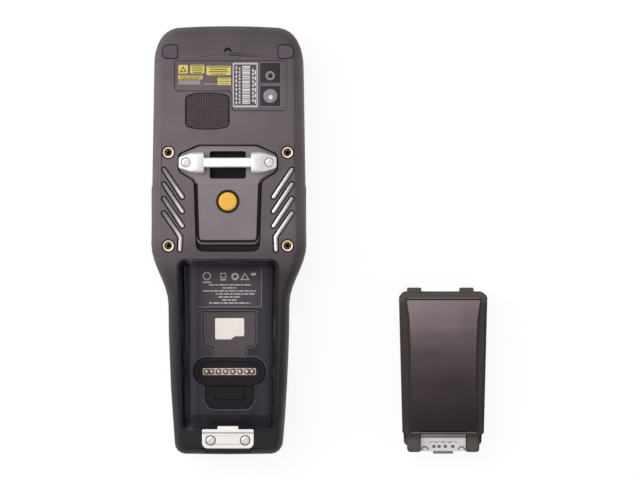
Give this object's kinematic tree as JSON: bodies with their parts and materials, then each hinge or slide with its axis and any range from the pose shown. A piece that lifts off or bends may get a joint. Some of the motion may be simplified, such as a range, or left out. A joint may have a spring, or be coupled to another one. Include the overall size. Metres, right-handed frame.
{
  "type": "portable barcode data terminal",
  "caption": "Rugged handheld barcode terminal lying face down, back with strap bar, trigger and open battery bay up, its battery pack beside it.",
  "frame": {"origin": "middle of the front rest face, on the line of the widest shoulders", "axes": "+X across to the terminal's right as seen from its back, +Y along it towards the scanner end, +Z out of its back; the terminal lies face down"},
  "size_m": [0.1711, 0.2179, 0.0381],
  "materials": {
    "housing_grey": "fine moulded texture, warm dark grey",
    "housing_black": "fine moulded texture, black",
    "gasket_rubber": "matt",
    "display_glass": "polished, dark tinted",
    "panel_black": "satin",
    "mat_silicone": "matt",
    "circuit_board": "solder resist",
    "engine_black": "satin",
    "scan_red_glass": "polished, dark red",
    "window_glass": "polished",
    "mesh_black": "woven",
    "plate_black": "fine ribs",
    "bright_steel": "polished",
    "cast_bright": "satin cast",
    "screw_steel": "polished",
    "gloss_black": "glossy",
    "orange_plastic": "satin orange",
    "gloss_inlay": "glossy dark silver",
    "brass": "turned and knurled",
    "pad_rubber": "matt",
    "gloss_bay": "glossy bluish black",
    "door_rubber": "matt",
    "card_grey": "matt light grey",
    "socket_steel": "stamped",
    "contact_pale": "matt",
    "gold_contact": "gold plated",
    "seal_rubber": "satin",
    "pack_black": "fine moulded texture",
    "pack_gloss": "glossy",
    "cell_blue": "shrink film",
    "key_grey": "matt moulded rubber",
    "key_red": "matt moulded rubber",
    "key_blue": "matt moulded rubber"
  },
  "bodies": {
    "terminal": {"rear_housing": "housing_grey", "front_housing": "housing_black", "housing_gasket": "gasket_rubber", "display_lens": "display_glass", "lcd_panel": "panel_black", "keypad_mat": "mat_silicone", "keypad_board": "circuit_board", "main_board": "circuit_board", "scan_engine": "engine_black", "scan_window": "scan_red_glass", "camera_module": "engine_black", "camera_windows": "window_glass", "speaker_unit": "engine_black", "speaker_mesh": "mesh_black", "strap_plate": "plate_black", "strap_bar": "bright_steel", "bar_lugs": "cast_bright", "plate_screws": "screw_steel", "trigger_bezel": "gloss_black", "grip_inlays": "gloss_inlay", "threaded_inserts": "brass", "corner_pads": "pad_rubber", "battery_bay": "gloss_bay", "card_socket": "socket_steel", "contact_block": "contact_pale", "contact_seal": "seal_rubber", "strike_plate": "bright_steel", "dock_connector": "gloss_black"},
    "battery_pack": {"battery_case": "pack_black", "battery_cover": "pack_gloss", "battery_cells": "cell_blue", "battery_contacts": "gold_contact", "protection_board": "circuit_board"},
    "pack_latch": {"battery_latch": "cast_bright"},
    "rear_trigger": {"trigger_button": "orange_plastic"},
    "left_trigger": {"side_trigger_left": "orange_plastic"},
    "right_trigger": {"side_trigger_right": "orange_plastic"},
    "card_door": {"card_door": "door_rubber"},
    "memory_card": {"memory_card": "card_grey"},
    "contact_pins": {"contact_pins": "gold_contact"},
    "scan_key": {"scan_key": "orange_plastic"},
    "left_soft_key": {"left_soft_key": "key_grey"},
    "right_soft_key": {"right_soft_key": "key_grey"},
    "navigation_ring": {"navigation_ring": "gloss_black"},
    "enter_key": {"enter_key": "key_grey"},
    "escape_key": {"escape_key": "key_red"},
    "function_key": {"function_key": "key_blue"},
    "power_key": {"power_key": "key_red"},
    "key_1": {"key_1": "key_grey"},
    "key_2": {"key_2": "key_grey"},
    "key_3": {"key_3": "key_grey"},
    "key_4": {"key_4": "key_grey"},
    "key_5": {"key_5": "key_grey"},
    "key_6": {"key_6": "key_grey"},
    "key_7": {"key_7": "key_grey"},
    "key_8": {"key_8": "key_grey"},
    "key_9": {"key_9": "key_grey"},
    "key_star": {"key_star": "key_grey"},
    "key_0": {"key_0": "key_grey"},
    "key_hash": {"key_hash": "key_grey"}
  },
  "joints": [
    {"name": "pack_lift", "type": "slide", "parent": "terminal", "child": "battery_pack", "axis": [-0.7507, 0.0997, 0.6531], "range_m": [0, 0.14546]},
    {"name": "pack_latch_slide", "type": "slide", "parent": "battery_pack", "child": "pack_latch", "axis": [0, 1, 0], "range_m": [0, 0.0012], "stiffness_N_per_m": 1500, "springref_m": -0.0005},
    {"name": "rear_trigger_press", "type": "slide", "parent": "terminal", "child": "rear_trigger", "axis": [0, 0, -1], "range_m": [0, 0.0012], "stiffness_N_per_m": 1500, "springref_m": -0.0005},
    {"name": "left_trigger_press", "type": "slide", "parent": "terminal", "child": "left_trigger", "axis": [1, 0, 0], "range_m": [0, 0.0008], "stiffness_N_per_m": 1500, "springref_m": -0.0005},
    {"name": "right_trigger_press", "type": "slide", "parent": "terminal", "child": "right_trigger", "axis": [-1, 0, 0], "range_m": [0, 0.0008], "stiffness_N_per_m": 1500, "springref_m": -0.0005},
    {"name": "card_door_hinge", "type": "hinge", "parent": "terminal", "child": "card_door", "pos_m": [0, -0.03741, 0.0108], "axis": [-1, 0, 0], "range_deg": [0, 100]},
    {"name": "card_lift", "type": "slide", "parent": "card_door", "child": "memory_card", "axis": [0, 0, 1], "range_m": [0, 0.008]},
    {"name": "contact_press", "type": "slide", "parent": "terminal", "child": "contact_pins", "axis": [0, 0, -1], "range_m": [0, 0.001], "stiffness_N_per_m": 1000, "springref_m": -0.0005},
    {"name": "scan_key_press", "type": "slide", "parent": "terminal", "child": "scan_key", "axis": [0, 0, 1], "range_m": [0, 0.0008], "stiffness_N_per_m": 800, "springref_m": -0.0005},
    {"name": "left_soft_key_press", "type": "slide", "parent": "terminal", "child": "left_soft_key", "axis": [0, 0, 1], "range_m": [0, 0.0008], "stiffness_N_per_m": 800, "springref_m": -0.0005},
    {"name": "right_soft_key_press", "type": "slide", "parent": "terminal", "child": "right_soft_key", "axis": [0, 0, 1], "range_m": [0, 0.0008], "stiffness_N_per_m": 800, "springref_m": -0.0005},
    {"name": "navigation_ring_press", "type": "slide", "parent": "terminal", "child": "navigation_ring", "axis": [0, 0, 1], "range_m": [0, 0.0008], "stiffness_N_per_m": 800, "springref_m": -0.0005},
    {"name": "enter_key_press", "type": "slide", "parent": "terminal", "child": "enter_key", "axis": [0, 0, 1], "range_m": [0, 0.0008], "stiffness_N_per_m": 800, "springref_m": -0.0005},
    {"name": "escape_key_press", "type": "slide", "parent": "terminal", "child": "escape_key", "axis": [0, 0, 1], "range_m": [0, 0.0008], "stiffness_N_per_m": 800, "springref_m": -0.0005},
    {"name": "function_key_press", "type": "slide", "parent": "terminal", "child": "function_key", "axis": [0, 0, 1], "range_m": [0, 0.0008], "stiffness_N_per_m": 800, "springref_m": -0.0005},
    {"name": "power_key_press", "type": "slide", "parent": "terminal", "child": "power_key", "axis": [0, 0, 1], "range_m": [0, 0.0008], "stiffness_N_per_m": 800, "springref_m": -0.0005},
    {"name": "key_1_press", "type": "slide", "parent": "terminal", "child": "key_1", "axis": [0, 0, 1], "range_m": [0, 0.0008], "stiffness_N_per_m": 800, "springref_m": -0.0005},
    {"name": "key_2_press", "type": "slide", "parent": "terminal", "child": "key_2", "axis": [0, 0, 1], "range_m": [0, 0.0008], "stiffness_N_per_m": 800, "springref_m": -0.0005},
    {"name": "key_3_press", "type": "slide", "parent": "terminal", "child": "key_3", "axis": [0, 0, 1], "range_m": [0, 0.0008], "stiffness_N_per_m": 800, "springref_m": -0.0005},
    {"name": "key_4_press", "type": "slide", "parent": "terminal", "child": "key_4", "axis": [0, 0, 1], "range_m": [0, 0.0008], "stiffness_N_per_m": 800, "springref_m": -0.0005},
    {"name": "key_5_press", "type": "slide", "parent": "terminal", "child": "key_5", "axis": [0, 0, 1], "range_m": [0, 0.0008], "stiffness_N_per_m": 800, "springref_m": -0.0005},
    {"name": "key_6_press", "type": "slide", "parent": "terminal", "child": "key_6", "axis": [0, 0, 1], "range_m": [0, 0.0008], "stiffness_N_per_m": 800, "springref_m": -0.0005},
    {"name": "key_7_press", "type": "slide", "parent": "terminal", "child": "key_7", "axis": [0, 0, 1], "range_m": [0, 0.0008], "stiffness_N_per_m": 800, "springref_m": -0.0005},
    {"name": "key_8_press", "type": "slide", "parent": "terminal", "child": "key_8", "axis": [0, 0, 1], "range_m": [0, 0.0008], "stiffness_N_per_m": 800, "springref_m": -0.0005},
    {"name": "key_9_press", "type": "slide", "parent": "terminal", "child": "key_9", "axis": [0, 0, 1], "range_m": [0, 0.0008], "stiffness_N_per_m": 800, "springref_m": -0.0005},
    {"name": "key_star_press", "type": "slide", "parent": "terminal", "child": "key_star", "axis": [0, 0, 1], "range_m": [0, 0.0008], "stiffness_N_per_m": 800, "springref_m": -0.0005},
    {"name": "key_0_press", "type": "slide", "parent": "terminal", "child": "key_0", "axis": [0, 0, 1], "range_m": [0, 0.0008], "stiffness_N_per_m": 800, "springref_m": -0.0005},
    {"name": "key_hash_press", "type": "slide", "parent": "terminal", "child": "key_hash", "axis": [0, 0, 1], "range_m": [0, 0.0008], "stiffness_N_per_m": 800, "springref_m": -0.0005}
  ]
}
